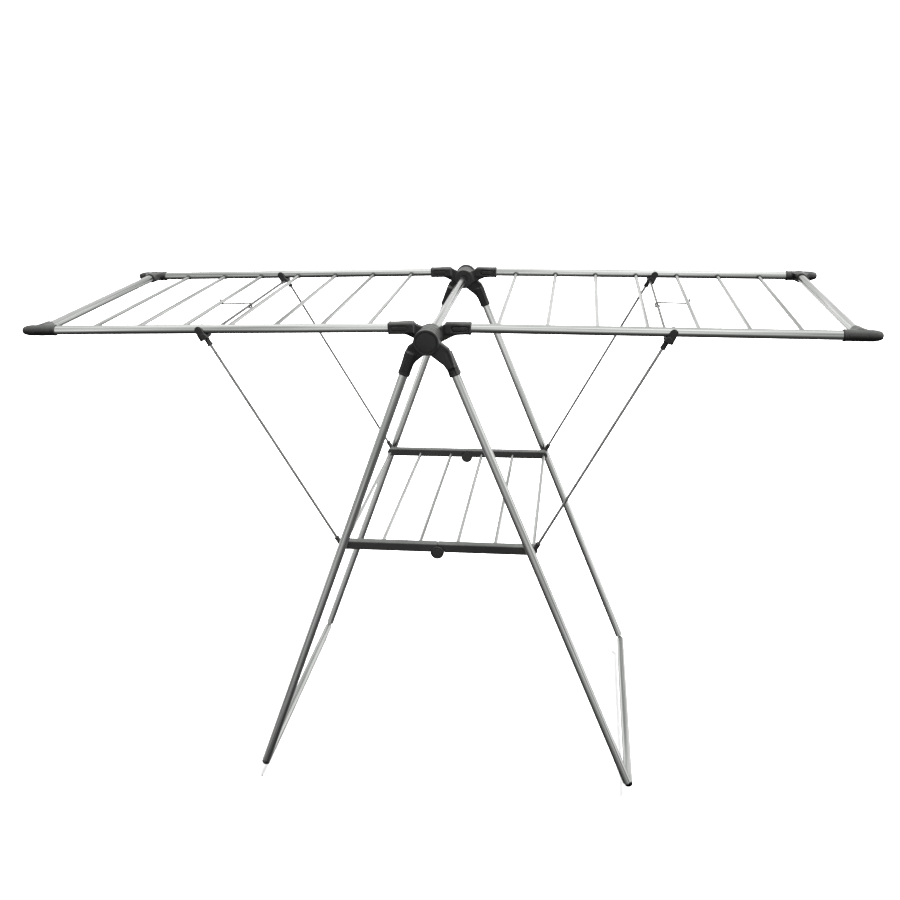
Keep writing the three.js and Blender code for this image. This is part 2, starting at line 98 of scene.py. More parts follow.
CLIP_EAR_RADIUS = 6.8
CLIP_EAR_THICKNESS = 2.6
CLIP_EAR_GAP = 0.5
CLIP_EAR_LENGTH = 19.0
CLIP_EAR_FOOT_OFFSET = -4.5  # middle of an ear's square foot, outboard of the rod
CLIP_SETBACK = 9.0  # clip outward of the cross rod
CLIP_WEB_RADIUS = 5.7
CLIP_FIN_REACH = 7.6  # fin on the sleeve, towards the hub
CLIP_FIN_LENGTH = 10.0
CLIP_FIN_HALF_WIDTH = 2.0
CLIP_SLEEVE_LENGTH = 18.0  # from the cross rod down the strut
SLEEVE_RADIUS = 4.4
STRUT_EYE_RADIUS = 6.3
STRUT_EYE_THICKNESS = 6.6
STRUT_SLEEVE_END = 22.5  # from the shelf pivot
STRUT_BEND_RADIUS = 7.0
SHELF_PIN_RADIUS = 3.0

BAR_HALF_HEIGHT = 8.25
BAR_DEPTH = 16.0
KNUCKLE_RADIUS = 12.4
KNUCKLE_GAP = 0.4
SHELF_RUNG_SHARES = (1 / 5, 3 / 5, 1)  # of the way from the middle to the pivot

# Details finer than the CAD nodes show
PRESS_FIT = 0.7  # plastic bites this far into a tube it is pressed on
LEG_SOCKET_CORNER = 7.5  # rounding of a hub socket's section
WING_SOCKET_CORNER = 4.5
GUSSET_HALF_THICKNESS = 7.5  # between a connector's point and its side socket
SEAM_HALF_GAP = 0.15  # between the halves of the shelf
KNUCKLE_PROUD = 1.4  # of the bar's face
SHELF_RUNG_BITE = 3.0  # a rung's end goes this far into a bar


# ---- Spaces: an origin on a pivot, X along the part, Y along the axle ----

record = frame["record"]
joints = {joint["name"]: joint for joint in frame["joints"]}
body_of_node = {
    node: body for body, nodes in record["behaviour"]["bodies"].items() for node in nodes
}


def pivot(joint):
    """A joint's place, moved along its own axis to the middle of the depth."""
    x, _, z = joints[joint]["pos_m"]
    return Vector((x, 0, z))


def middle(node):
    low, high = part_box(node)
    return (low + high) / 2


def space(origin, towards, depth_sign):
    along = towards - origin
    along.y = 0
    along.normalize()
    depth = Vector((0, depth_sign, 0))
    square = along.cross(depth)
    turn = Matrix((along, depth, square)).transposed()
    return Matrix.Translation(origin) @ turn.to_4x4()


def span(node, into):
    """Lowest and highest corner of a CAD node in a space, in millimetres."""
    mesh = frame["nodes"][node].data
    points = np.empty(3 * len(mesh.vertices))
    mesh.vertices.foreach_get("co", points)
    inverse = np.array(into.inverted())
    local = (points.reshape(-1, 3) @ inverse[:3, :3].T + inverse[:3, 3]) / MM
    return local.min(0), local.max(0)


class Side:
    """One half of the rack. An end is -1 or 1, the way it lies along the half's own Y."""

    def __init__(self, name, depth_sign):
        self.name = name
        self.ends = {"front": -depth_sign, "rear": depth_sign}
        hub = pivot("right_leg_fold")
        shelf_pivot = pivot(f"{name}_strut_swing")
        cross_rod = pivot(f"{name}_latch_swing")
        first = middle(f"{name}_wing_rung_1")
        last = middle(f"{name}_wing_rung_7")
        foot_tube = middle(f"{name}_foot_tube")
        self.wing = space(hub, hub + last - first, depth_sign)
        self.leg = space(hub, hub + foot_tube - shelf_pivot, depth_sign)
        self.strut = space(shelf_pivot, cross_rod, depth_sign)
        shelf_middle = Vector((0, 0, shelf_pivot.z))
        self.shelf = space(shelf_middle, shelf_pivot, depth_sign)
        self.cross_rod = (self.wing.inverted() @ cross_rod) / MM
        self.strut_length = (cross_rod - shelf_pivot).length / MM
        self.shelf_reach = (shelf_pivot - shelf_middle).length / MM


SIDES = [Side("right", 1), Side("left", -1)]


# ---- Distance functions: below zero inside, in millimetres ----


def either(a, b, soft=0.0):
    """Union, with a fillet of about this size where the two meet."""
    if soft == 0:
        return np.minimum(a, b)
    share = np.clip(0.5 + 0.5 * (b - a) / soft, 0, 1)
    return b + (a - b) * share - soft * share * (1 - share)


def both(a, b, soft=0.0):
    """Intersection, with its edge rounded off by about this size."""
    return -either(-a, -b, soft)


def without(a, b, soft=0.0):
    return both(a, -b, soft)


def slab(value, low, high):
    return np.abs(value - (low + high) / 2) - abs(high - low) / 2


def disc(u, v, centre, radius):
    return np.hypot(u - centre[0], v - centre[1]) - radius


def stadium(u, v, start, stop, radius):
    """Distance to an outline with round ends about two points."""
    du, dv = stop[0] - start[0], stop[1] - start[1]
    share = np.clip(((u - start[0]) * du + (v - start[1]) * dv) / (du * du + dv * dv), 0, 1)
    return np.hypot(u - start[0] - share * du, v - start[1] - share * dv) - radius


def rounded_box(u, v, half_u, half_v, corner):
    over_u = np.abs(u) - half_u + corner
    over_v = np.abs(v) - half_v + corner
    outside = np.hypot(np.maximum(over_u, 0), np.maximum(over_v, 0))
    return outside + np.minimum(np.maximum(over_u, over_v), 0) - corner


def polygon(u, v, outline):
    """Signed distance to a closed outline of points."""
    nearest = np.full(np.shape(u), np.inf)
    inside = np.zeros(np.shape(u), bool)
    for (au, av), (bu, bv) in zip(outline, outline[1:] + outline[:1]):
        nearest = np.minimum(nearest, stadium(u, v, (au, av), (bu, bv), 0.0))
        if av != bv:
            crosses = (av > v) != (bv > v)
            inside ^= crosses & (u < au + (v - av) * (bu - au) / (bv - av))
    return np.where(inside, -nearest, nearest)


# ---- Meshes ----


def ticks(low, high, step):
    return np.linspace(low, high, max(2, round((high - low) / step) + 1))


def along_axis(array, axis, start, stop):
    index = [slice(None)] * 3
    index[axis] = slice(start, stop)
    return array[tuple(index)]


def surface(distance, grid):
    """Vertices and quads of the surface where a distance function is zero, with one vertex in
    each grid cell that the surface crosses, then drawn on to the surface itself."""
    values = distance(*np.meshgrid(*grid, indexing="ij"))
    cells = [len(t) - 1 for t in grid]
    total = np.zeros((*cells, 3))
    count = np.zeros(cells)
    crossings = []
    for axis in range(3):
        low = along_axis(values, axis, None, -1)
        high = along_axis(values, axis, 1, None)
        crosses = (low < 0) != (high < 0)
        crossings.append((crosses, low < 0))
        share = np.where(crosses, low / np.where(crosses, low - high, 1), 0)
        place = np.empty((*low.shape, 3))
        for other in range(3):
            shape = [1, 1, 1]
            shape[other] = -1
            base = grid[other][:-1] if other == axis else grid[other]
            place[..., other] = base.reshape(shape)
        place[..., axis] += share * np.diff(grid[axis]).reshape(
            [-1 if a == axis else 1 for a in range(3)]
        )
        b, c = (axis + 1) % 3, (axis + 2) % 3
        for db in (0, 1):
            for dc in (0, 1):
                index = [slice(None)] * 3
                index[b] = slice(db, db + cells[b])
                index[c] = slice(dc, dc + cells[c])
                hit = crosses[tuple(index)]
                total += place[tuple(index)] * hit[..., None]
                count += hit
    used = count > 0
    number = np.full(cells, -1)
    number[used] = np.arange(used.sum())
    points = total[used] / count[used][:, None]
    quads = []
    for axis, (crosses, outward) in enumerate(crossings):
        b, c = (axis + 1) % 3, (axis + 2) % 3
        inner = [slice(None)] * 3
        inner[b] = slice(1, -1)
        inner[c] = slice(1, -1)
        places = np.argwhere(crosses[tuple(inner)])
        places[:, b] += 1
        places[:, c] += 1
        corners = []
        for db, dc in ((-1, -1), (0, -1), (0, 0), (-1, 0)):
            corner = places.copy()
            corner[:, b] += db
            corner[:, c] += dc
            corners.append(number[tuple(corner.T)])
        faces = np.stack(corners, 1)
        flip = ~outward[tuple(places.T)]
        faces[flip] = faces[flip][:, ::-1]
        quads.append(faces)
    finest = min(float(np.diff(t).min()) for t in grid)
    return drawn_on(distance, points, finest), np.concatenate(quads)


def drawn_on(distance, points, step):
    """Moves points along the slope of a distance function until it is zero there."""
    probe = 0.02
    for _ in range(4):
        here = distance(*points.T)
        slope = np.empty_like(points)
        for axis in range(3):
            beyond = points.copy()
            beyond[:, axis] += probe
            before = points.copy()
            before[:, axis] -= probe
            slope[:, axis] = (distance(*beyond.T) - distance(*before.T)) / (2 * probe)
        steepness = np.maximum((slope ** 2).sum(1), 0.2)
        move = slope * (here / steepness)[:, None]
        reach = np.maximum(np.linalg.norm(move, axis=1), 1e-9)
        points = points - move * np.minimum(1, 0.5 * step / reach)[:, None]
    return points


SHARP_ANGLE = math.radians(38)


def as_mesh(name, points, faces, sharp_angle=SHARP_ANGLE):
    mesh = bpy.data.meshes.new(name)
    mesh.from_pydata((np.asarray(points) * MM).tolist(), [], [list(map(int, f)) for f in faces])
    mesh.update()
    mesh.shade_smooth()
    mesh.set_sharp_from_angle(angle=sharp_angle)
    return mesh


def moulded(name, distance, low, high, step=0.9):
    """A mesh of a distance function inside a box. A box side may be a ready array of ticks."""
    grid = [
        ticks(a, b, step) if np.isscalar(a) else np.asarray(a, float)
        for a, b in zip(low, high)
    ]
    points, quads = surface(distance, grid)
    return as_mesh(name, points, quads, sharp_angle=math.pi)


def turned(name, profile, sides=48, closed=False):
    """A surface of revolution about X from (x, radius) points. A profile that isn't closed
    starts and ends on the axis."""
    points, rings = [], []
    for x, radius in profile:
        if radius == 0:
            rings.append([len(points)] * sides)
            points.append((x, 0, 0))
            continue
        rings.append(list(range(len(points), len(points) + sides)))
        for i in range(sides):
            angle = 2 * math.pi * i / sides
            points.append((x, radius * math.cos(angle), radius * math.sin(angle)))
    pairs = list(zip(rings, rings[1:] + rings[:1]))
    faces = []
    for ring, following in pairs if closed else pairs[:-1]:
        for i in range(sides):
            k = (i + 1) % sides
            face = [ring[i], ring[k], following[k], following[i]]
            faces.append(list(dict.fromkeys(face)))
    return as_mesh(name, points, faces)


def tube(name, radius, wall, length, sides=48):
    """A tube along X from the origin, with its cut ends deburred."""
    burr = 0.25
    inside = radius - wall
    profile = [
        (burr, inside), (0, inside + burr), (0, radius - burr), (burr, radius),
        (length - burr, radius), (length, radius - burr), (length, inside + burr),
        (length - burr, inside),
    ]
    return turned(name, profile[::-1], sides, closed=True)


def swept(name, path, radius, sides=24):
    """A round rod along a path, with rounded ends."""
    path = np.asarray(path, float)
    step = np.diff(path, axis=0)
    step /= np.linalg.norm(step, axis=1)[:, None]
    tangents = np.vstack([step[:1], step[:-1] + step[1:], step[-1:]])
    tangents /= np.linalg.norm(tangents, axis=1)[:, None]
    normal = np.cross(tangents[0], (0.31, 0.52, 0.79))  # any direction off the path's own
    rings = []  # each one's centre, direction, side and radius
    for point, tangent in zip(path, tangents):
        normal = normal - tangent * (normal @ tangent)
        normal /= np.linalg.norm(normal)
        rings.append((point, tangent, normal, radius))

    def rounded_end(ring, way):
        centre, tangent, side, _ = ring
        return [
            (centre + way * tangent * radius * c * 0.6, tangent, side, radius * math.sqrt(1 - c * c))
            for c in (0.3, 0.6, 0.85)
        ]

    rings = rounded_end(rings[0], -1)[::-1] + rings + rounded_end(rings[-1], 1)
    points = []
    for centre, tangent, side, size in rings:
        other = np.cross(tangent, side)
        for i in range(sides):
            angle = 2 * math.pi * i / sides
            points.append(centre + size * (side * math.cos(angle) + other * math.sin(angle)))
    faces = []
    for r in range(len(rings) - 1):
        for i in range(sides):
            k = (i + 1) % sides
            base = r * sides
            faces.append([base + i, base + k, base + sides + k, base + sides + i])
    faces.append(list(range(sides))[::-1])
    faces.append(list(range(len(points) - sides, len(points))))
    return as_mesh(name, points, faces)


# ---- Materials ----


class Nodes:
    """A material's node tree, with a short way to add and link nodes."""

    def __init__(self, name):
        self.material = bpy.data.materials.new(name)
        self.material.use_nodes = True
        self.tree = self.material.node_tree
        self.shader = self.tree.nodes["Principled BSDF"]

    def add(self, kind, inputs=None, **settings):
        node = self.tree.nodes.new(kind)
        for key, value in settings.items():
            setattr(node, key, value)
        for key, value in (inputs or {}).items():
            self.put(node.inputs[key], value)
        return node

    def put(self, socket, value):
        if isinstance(value, bpy.types.NodeSocket):
            self.tree.links.new(value, socket)
        else:
            socket.default_value = value

    def coordinates(self, scale):
        """Object coordinates stretched by a scale, and shifted by a different amount on each piece."""
        place = self.add("ShaderNodeTexCoord").outputs["Object"]
        random = self.add("ShaderNodeObjectInfo").outputs["Random"]
        shift = self.add("ShaderNodeVectorMath", {0: (37.0, 53.0, 71.0), 3: random}, operation="SCALE")
        scaled = self.add("ShaderNodeVectorMath", {0: place, 1: scale}, operation="MULTIPLY")
        return self.add(
            "ShaderNodeVectorMath", {0: scaled.outputs[0], 1: shift.outputs[0]}, operation="ADD"
        ).outputs[0]

    def noise(self, scale, detail=4.0, roughness=0.55):
        """Noise from 0 to 1. The scale is in features per metre along X, Y and Z."""
        place = self.coordinates(scale)
        inputs = {"Vector": place, "Scale": 1.0, "Detail": detail, "Roughness": roughness}
        return self.add("ShaderNodeTexNoise", inputs).outputs["Fac"]

    def ramp(self, value, low, high, start=0.3, stop=0.7):
        """Maps a value's middle stretch on to a number range."""
        inputs = {"Value": value, "From Min": start, "From Max": stop, "To Min": low, "To Max": high}
        return self.add("ShaderNodeMapRange", inputs).outputs["Result"]

    def blend(self, share, first, second):
        inputs = {"Factor": share, 6: first, 7: second}
        return self.add("ShaderNodeMix", inputs, data_type="RGBA").outputs[2]

    def sum(self, first, second, weight):
        inputs = {0: second, 1: weight, 2: first}
        return self.add("ShaderNodeMath", inputs, operation="MULTIPLY_ADD").outputs[0]

    def bump(self, height, strength, distance):
        inputs = {"Height": height, "Strength": strength, "Distance": distance}
        self.put(self.shader.inputs["Normal"], self.add("ShaderNodeBump", inputs).outputs["Normal"])


def grey(level, tint=(1.0, 1.0, 1.0)):
    return (*[level * t for t in tint], 1.0)


ANODISED_TINT = (0.985, 1.0, 0.98)


def brushed_aluminium():
    """Drawn tube with a satin anodised finish: fine streaks along its length."""
    n = Nodes("brushed_aluminium")
    bands = n.noise((1.5, 170, 170), detail=2)
    streaks = n.noise((5, 520, 520), detail=5)
    hairs = n.noise((28, 2600, 2600), detail=3)
    clouds = n.noise((9, 14, 14), detail=3)
    lines = n.sum(streaks, hairs, 0.5)
    tone = n.blend(n.ramp(lines, 0, 1, 0.5, 1.0), grey(0.52, ANODISED_TINT), grey(0.92, ANODISED_TINT))
    tone = n.blend(n.ramp(clouds, 0, 0.35), tone, grey(0.62, (0.96, 1.0, 0.94)))
    tone = n.blend(n.ramp(bands, 0, 0.8, 0.47, 0.62), tone, grey(0.28, (0.96, 1.0, 0.95)))
    n.put(n.shader.inputs["Base Color"], tone)
    n.put(n.shader.inputs["Metallic"], 1.0)
    n.put(n.shader.inputs["Roughness"], n.ramp(n.sum(lines, clouds, 0.4), 0.13, 0.25, 0.6, 1.3))
    n.bump(lines, 0.12, 0.00008)
    return n.material


def steel_rod():
    """Zinc-plated rod and wire: greyer than the tubes, with cloudy plating and fine marks."""
    n = Nodes("steel_rod")
    marks = n.noise((900, 900, 900), detail=4)
    clouds = n.noise((60, 60, 60), detail=4)
    tone = n.blend(n.ramp(clouds, 0, 1), grey(0.2, (0.98, 1.0, 0.96)), grey(0.34, (0.98, 1.0, 0.97)))
    n.put(n.shader.inputs["Base Color"], tone)
    n.put(n.shader.inputs["Metallic"], 1.0)
    n.put(n.shader.inputs["Roughness"], n.ramp(n.sum(clouds, marks, 0.5), 0.2, 0.36, 0.5, 1.0))
    n.bump(marks, 0.1, 0.00006)
    return n.material


def black_plastic():
    """Moulded nylon with a fine spark-eroded grain, a little rubbed."""
    n = Nodes("black_plastic")
    grain = n.noise((1500, 1500, 1500), detail=2)
    flow = n.noise((45, 45, 45), detail=5, roughness=0.6)
    rub = n.noise((130, 420, 420), detail=6, roughness=0.7)
    tone = n.blend(n.ramp(flow, 0, 1), grey(0.030, (0.97, 1.0, 0.96)), grey(0.050, (0.97, 1.0, 0.96)))
    tone = n.blend(n.ramp(rub, 0, 0.5, 0.58, 0.8), tone, grey(0.085))
    n.put(n.shader.inputs["Base Color"], tone)
    n.put(n.shader.inputs["Roughness"], n.ramp(n.sum(flow, grain, 0.6), 0.26, 0.42, 0.5, 1.1))
    n.put(n.shader.inputs["Specular IOR Level"], 0.22)
    n.bump(grain, 0.18, 0.00012)
    return n.material


def dark_paint():
    """Powder coat over pressed steel: slight orange peel and a few pale specks."""
    n = Nodes("dark_paint")
    peel = n.noise((420, 420, 420), detail=2)
    specks = n.noise((1900, 1900, 1900), detail=1)
    clouds = n.noise((22, 22, 22), detail=4)
    tone = n.blend(n.ramp(clouds, 0, 1), grey(0.040, (0.96, 1.0, 0.95)), grey(0.062, (0.96, 1.0, 0.95)))
    tone = n.blend(n.ramp(specks, 0, 0.6, 0.66, 0.8), tone, grey(0.14))
    n.put(n.shader.inputs["Base Color"], tone)
    n.put(n.shader.inputs["Roughness"], n.ramp(n.sum(peel, clouds, 0.5), 0.26, 0.4, 0.5, 1.0))
    n.put(n.shader.inputs["Specular IOR Level"], 0.3)
    n.put(n.shader.inputs["Coat Weight"], 0.15)
    n.put(n.shader.inputs["Coat Roughness"], 0.2)
    n.bump(peel, 0.22, 0.00025)
    return n.material


MATERIALS = {make.__name__: make() for make in (brushed_aluminium, steel_rod, black_plastic, dark_paint)}


def place(name, mesh, where, slot, node, stands_for=True):
    """Puts a mesh in a space as a piece that rides with a CAD node's body."""
    if not mesh.materials:
        mesh.materials.append(MATERIALS[slot])
    piece = bpy.data.objects.new(name, mesh)
    bpy.context.scene.collection.objects.link(piece)
    piece.matrix_world = where
    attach(piece, body_of_node[node])
    if stands_for:
        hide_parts(node)
    return piece


def at(where, x, y, z, turn=None):
    """A space moved to a point of it in millimetres, and turned there."""
    moved = where @ Matrix.Translation(Vector((x, y, z)) * MM)
    return moved if turn is None else moved @ turn


ALONG_DEPTH = Matrix.Rotation(math.pi / 2, 4, "Z")


def place_tube(node, where, axis, radius, wall):
    """A fine tube in place of a CAD one, along X (0) or Y (1) of a space."""
    low, high = span(node, where)
    centre = (low + high) / 2
    start = centre.copy()
    start[axis] = low[axis]
    turn = ALONG_DEPTH if axis == 1 else None
    mesh = tube(node + "_tube", radius, wall, high[axis] - low[axis])
    place(node + "_tube", mesh, at(where, *start, turn), "brushed_aluminium", node)


# ---- Hub ----


def eye_centre(level):
    """Middle of a hub eye's depth, stacked inward from the cap."""
    cap_low, cap_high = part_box("front_hub_cap")
    inner_face = min(abs(cap_low.y), abs(cap_high.y)) / MM
    gap = HUB_EYE_PITCH - HUB_EYE_THICKNESS
    outermost = inner_face - gap - HUB_EYE_THICKNESS / 2
    return outermost - (OUTERMOST_LEVEL - level) * HUB_EYE_PITCH


def fluted(x, across, outward, start, stop, depth=0.6, pitch=math.radians(31)):
    """Depth of the lengthwise grooves, a pitch apart, on the outward side of a leg socket."""
    angle = np.arctan2(np.abs(across), outward)
    wave = 0.5 - 0.5 * np.cos(2 * math.pi * angle / pitch)
    ends = np.clip((x - start) / 6, 0, 1) * np.clip((stop - x) / 2.5, 0, 1)
    sides = np.clip((math.radians(112) - angle) / math.radians(14), 0, 1)
    return depth * wave * ends * sides


def hub_arm(end, level, tube_depth, rise, start, stop, outline, is_leg):
    """Distance function of a moulded arm: eye on the axle, web, and socket for a tube."""
    eye_from = eye_centre(level) - HUB_EYE_THICKNESS / 2
    eye_to = eye_centre(level) + HUB_EYE_THICKNESS / 2
    socket_from = tube_depth - SOCKET_HALF_DEPTH
    socket_to = tube_depth + SOCKET_HALF_DEPTH
    web_from = max(eye_from, socket_from)
    web_to = eye_to if level == OUTERMOST_LEVEL else min(eye_to, socket_to)
    corner = LEG_SOCKET_CORNER if is_leg else WING_SOCKET_CORNER

    def distance(x, y, z):
        depth = y * end
        off_axis = np.hypot(x, z)
        eye = both(off_axis - HUB_EYE_RADIUS, slab(depth, eye_from, eye_to), 2.2)
        web = both(polygon(x, z, outline), slab(depth, web_from, web_to), 3.0)
        across, square = depth - tube_depth, z - rise
        section = rounded_box(across, square, SOCKET_HALF_DEPTH, SOCKET_HALF_HEIGHT, corner)
        lip = 0.35 * np.clip((x - stop + 4.5) / 0.8, 0, 1)
        socket = both(section - lip, slab(x, start, stop), 2.0)
        if is_leg:
            grooves = fluted(x, across, square, start - 8, stop)
            socket = socket + grooves
            web = web + grooves * (square > 0)
        shape = either(either(eye, web, 4.0), socket, 4.0)
        in_socket = np.maximum(slab(depth, socket_from - 0.3, socket_to + 0.3), start - 1 - x)
        shape = both(shape, either(slab(depth, eye_from, eye_to), in_socket), 0.8)
        if not is_leg:
            oval = stadium(x, z, (start + 15, rise), (stop - 10, rise), 4.3)
            ring = np.abs(oval) - 0.75
            shape = without(shape, both(ring, SOCKET_HALF_DEPTH - 0.55 - np.abs(across)), 0.4)
        rim = slab(off_axis, HUB_EYE_RADIUS - 5.5, HUB_EYE_RADIUS - 4)
        shape = without(shape, both(rim, slab(depth, eye_to - 0.5, eye_to + 2)), 0.4)
        shape = without(shape, off_axis - TUBE_RADIUS - FIT_GAP / 2, 0.6)
        seat = both(np.hypot(across, square) - TUBE_RADIUS + PRESS_FIT, start + SOCKET_FLOOR - x)
        return without(shape, seat, 0.5)

    return distance


def wing_arm_outline(rise):
    return [
        (6, -17), (19, -9.5), (46, rise - 10), (56, rise - 8), (56, rise + 7),
        (42, rise + 10), (31, rise + 10), (12, 15),
    ]


def leg_arm_outline(rise):
    return [
        (-2, -17), (17, -10), (49, rise - 10), (60, rise - 7), (60, rise + 7),
        (40, rise + 10), (26, rise + 10), (8, 18),
    ]


def place_hub_arm(node, where, end, level, outline_of, is_leg):
    low, high = span(node, where)
    tube_node = node.replace("_hub_arm", "") if is_leg else node.replace("hub_arm", "rail")
    tube_low, tube_high = span(tube_node, where)
    if is_leg:
        foot_low, _ = span(tube_node.rsplit("_", 2)[0] + "_foot_tube", where)
        tube_depth = abs(foot_low[1]) + CROSS_TUBE_INSET
    else:
        tube_depth = abs(tube_low[1] + tube_high[1]) / 2
    rise = (tube_low[2] + tube_high[2]) / 2
    start = tube_low[0] - SOCKET_FLOOR - FIT_GAP
    distance = hub_arm(end, level, tube_depth, rise, start, high[0], outline_of(rise), is_leg)
    mesh = moulded(node + "_moulding", distance, low - 2, high + 2)
    place(node + "_moulding", mesh, where, "black_plastic", node)


def hub_cap(thickness, radius, recess):
    """Profile of a cap that is pressed on the axle: domed face with a shallow panel."""
    bore = TUBE_RADIUS + FIT_GAP / 2
    panel, bevel = radius - 5.0, 1.3
    dome = [(thickness - 0.5 * (r / panel) ** 2, r) for r in np.linspace(0, panel, 10)]
    rim = [
        (thickness - 1.3, panel + 0.5), (thickness - 1.3, panel + 1.3),
        (thickness - 0.3, panel + 1.9),
    ]
    edge = [
        (thickness - 0.3 - bevel * (1 - math.cos(a)), radius - bevel * (1 - math.sin(a)))
        for a in np.linspace(0, math.pi / 2, 7)
    ]
    skirt = [(4.2, radius), (3.6, radius - 0.6), (2.6, radius - 0.6), (2.0, radius), (0.6, radius)]
    back = [(0, radius - 0.6), (0, bore + 0.5), (0.5, bore), (recess, bore), (recess, 0)]
    return (dome + rim + edge + skirt + back)[::-1]


def make_hub():
    world = Matrix.Translation(pivot("right_leg_fold"))
    place_tube("axle_tube", world, 1, TUBE_RADIUS, TUBE_WALL)
    low, high = span("front_hub_cap", world)
    thickness = high[1] - low[1]
    axle_end = abs(span("axle_tube", world)[0][1])
    recess = axle_end + 2.0 - abs(high[1])
    mesh = turned("hub_cap_moulding", hub_cap(thickness, (high[0] - low[0]) / 2, recess), sides=96)
    for name, way in (("front", -1), ("rear", 1)):
        turn = Matrix.Rotation(way * math.pi / 2, 4, "Z")
        where = at(world, 0, way * abs(high[1]), 0, turn)
        place(f"{name}_hub_cap_moulding", mesh, where, "black_plastic", f"{name}_hub_cap")


# ---- Connectors ----


def connector(side_towards, floor=None):
    """Distance function of a corner: sleeve for a rail along -X, side socket along Y, and a
    pointed end. A foot has a floor to be worn flat by. The cut for it has the wrong sign: it
    keeps what is under the floor, not what is above, so only a sliver of a foot is left."""
    length = CONNECTOR_TIP - CONNECTOR_SHOULDER
    gusset_outline = [
        (-BRANCH_RADIUS - 5, 4), (CONNECTOR_SHOULDER + 4, 4),
        (BRANCH_RADIUS - 1, CONNECTOR_BRANCH - 4), (1 - BRANCH_RADIUS, CONNECTOR_BRANCH - 8),
    ]

    def distance(x, y, z):
        off_axis = np.hypot(y, z)
        share = np.clip((x - CONNECTOR_SHOULDER) / length, 0, 0.9999)
        radius = CONNECTOR_RADIUS * (1 - share ** 2) ** (POINT_FULLNESS / 2)
        short_of_tip = np.clip(share, 0, 0.97)
        slope = np.hypot(1, short_of_tip / (1 - short_of_tip ** 2) * 0.3)
        nose = np.hypot(off_axis / CONNECTOR_RADIUS, np.maximum(x - CONNECTOR_SHOULDER, 0) / length)
        body = np.where(share > 0.9, (nose - 1) * CONNECTOR_RADIUS, (off_axis - radius) / slope)
        lip = 0.4 * np.clip((-x - CONNECTOR_SLEEVE + 4.5) / 0.8, 0, 1)
        body = both(body - lip, slab(x, -CONNECTOR_SLEEVE, CONNECTOR_TIP), 1.6)
        along = y * side_towards
        taper = 0.045 * np.clip(along - 8, 0, None)
        branch = both(np.hypot(x, z) - BRANCH_RADIUS + taper, slab(along, 0, CONNECTOR_BRANCH), 1.8)
        gusset = both(polygon(x, along, gusset_outline), np.abs(z) - GUSSET_HALF_THICKNESS, 2.0)
        branch = either(branch, gusset, 3.0)
        if floor is None:
            branch = both(branch, -z - CONNECTOR_RADIUS, 1.5)
        shape = either(body, branch, 2.5)
        if floor is None:
            panel = np.abs(stadium(x, z, (-16, 0), (8, 0), 3.4)) - 0.6
            shape = without(shape, both(panel, CONNECTOR_RADIUS - 0.5 + along), 0.4)
        else:
            (down_x, down_z), drop = floor
            shape = both(shape, drop - down_x * x - down_z * z, 1.2)
        bore_radius = TUBE_RADIUS - PRESS_FIT
        rail_seat = both(off_axis - bore_radius, x + TUBE_RADIUS + FIT_GAP)
        cross_seat = both(np.hypot(x, z) - bore_radius, CROSS_TUBE_INSET - FIT_GAP - along)
        return without(without(shape, rail_seat, 0.5), cross_seat, 0.5)

    return distance


def floor_under(here):
    """The floor in a space: the direction down to it in the XZ plane, and how far off it is."""
    down = here.to_3x3().inverted() @ Vector((0, 0, -1))
    return (down.x, down.z), here.translation.z / MM


def place_connector(node, where, end, centre, is_foot=False):
    """Puts a connector with its cross tube's axis at a point of a space."""
    reach = BRANCH_RADIUS + 1.5
    side = sorted((-end * (CONNECTOR_BRANCH + 1.5), end * reach))
    here = at(where, *centre)
    distance = connector(-end, floor_under(here) if is_foot else None)
    low = (-CONNECTOR_SLEEVE - 1.5, side[0], -reach)
    high = (CONNECTOR_TIP + 1.5, side[1], reach)
    mesh = moulded(node + "_moulding", distance, low, high)
    place(node + "_moulding", mesh, here, "black_plastic", node)


# ---- Wings ----


def grommet():
    """Black saddle that lines a rung's hole in a rail, hugging the rail. It is painted shade: its dark stands in
    for the shade and dark reflection round a dimpled hole. The rung's axis is Y.
    """

    def distance(x, y, z):
        off_rail = np.hypot(y, z - RUNG_DROP) - TUBE_RADIUS
        off_rung = np.hypot(x, z)
        saddle = both(off_rung - 5.6, slab(off_rail, -0.5, 1.2), 0.9)
        collar = both(off_rung - 4.5, slab(y, TUBE_RADIUS - 1.5, TUBE_RADIUS + 3.2), 0.7)
        shape = either(both(saddle, 2 - y), collar, 1.2)
        return without(shape, off_rung - RUNG_RADIUS + 0.1, 0.3)

    return moulded("grommet", distance, (-7, 2, -8), (7, 13, 8), step=0.45)


def make_wing(side, shade_saddle_mesh):
    name, where = side.name, side.wing
    for end_name, end in side.ends.items():
        stem = f"{name}_wing_{end_name}"
        place_tube(stem + "_rail", where, 0, TUBE_RADIUS, TUBE_WALL)
        level = 1 if end < 0 else 0
        place_hub_arm(stem + "_hub_arm", where, end, level, wing_arm_outline, False)
        low, high = span(stem + "_rail", where)
        rail_axis = (low + high) / 2
        _, corner_high = span(stem + "_corner", where)
        centre = (corner_high[0] - CONNECTOR_TIP, rail_axis[1], rail_axis[2])
        place_connector(stem + "_corner", where, end, centre)
    place_tube(f"{name}_wing_outer_tube", where, 1, TUBE_RADIUS, TUBE_WALL)
    rail_depth = abs(rail_axis[1])
    rungs = [node for node in body_of_node if node.startswith(f"{name}_wing_rung_")]
    for node in sorted(rungs):
        place_tube(node, where, 1, RUNG_RADIUS, RUNG_WALL)
        low, high = span(node, where)
        x, _, z = (low + high) / 2
        number = node.rsplit("_", 1)[1]
        # Painted shade: a black saddle at each end of a rung, where the rail has only shade and dark reflection
        # round the hole
        for end_name, end in side.ends.items():
            turn = Matrix.Rotation(math.pi if end > 0 else 0, 4, "Z")
            here = at(where, x, end * rail_depth, z, turn)
            title = f"{name}_wing_{end_name}_grommet_{number}"
            place(title, shade_saddle_mesh, here, "black_plastic", node, stands_for=False)


# ---- Legs ----


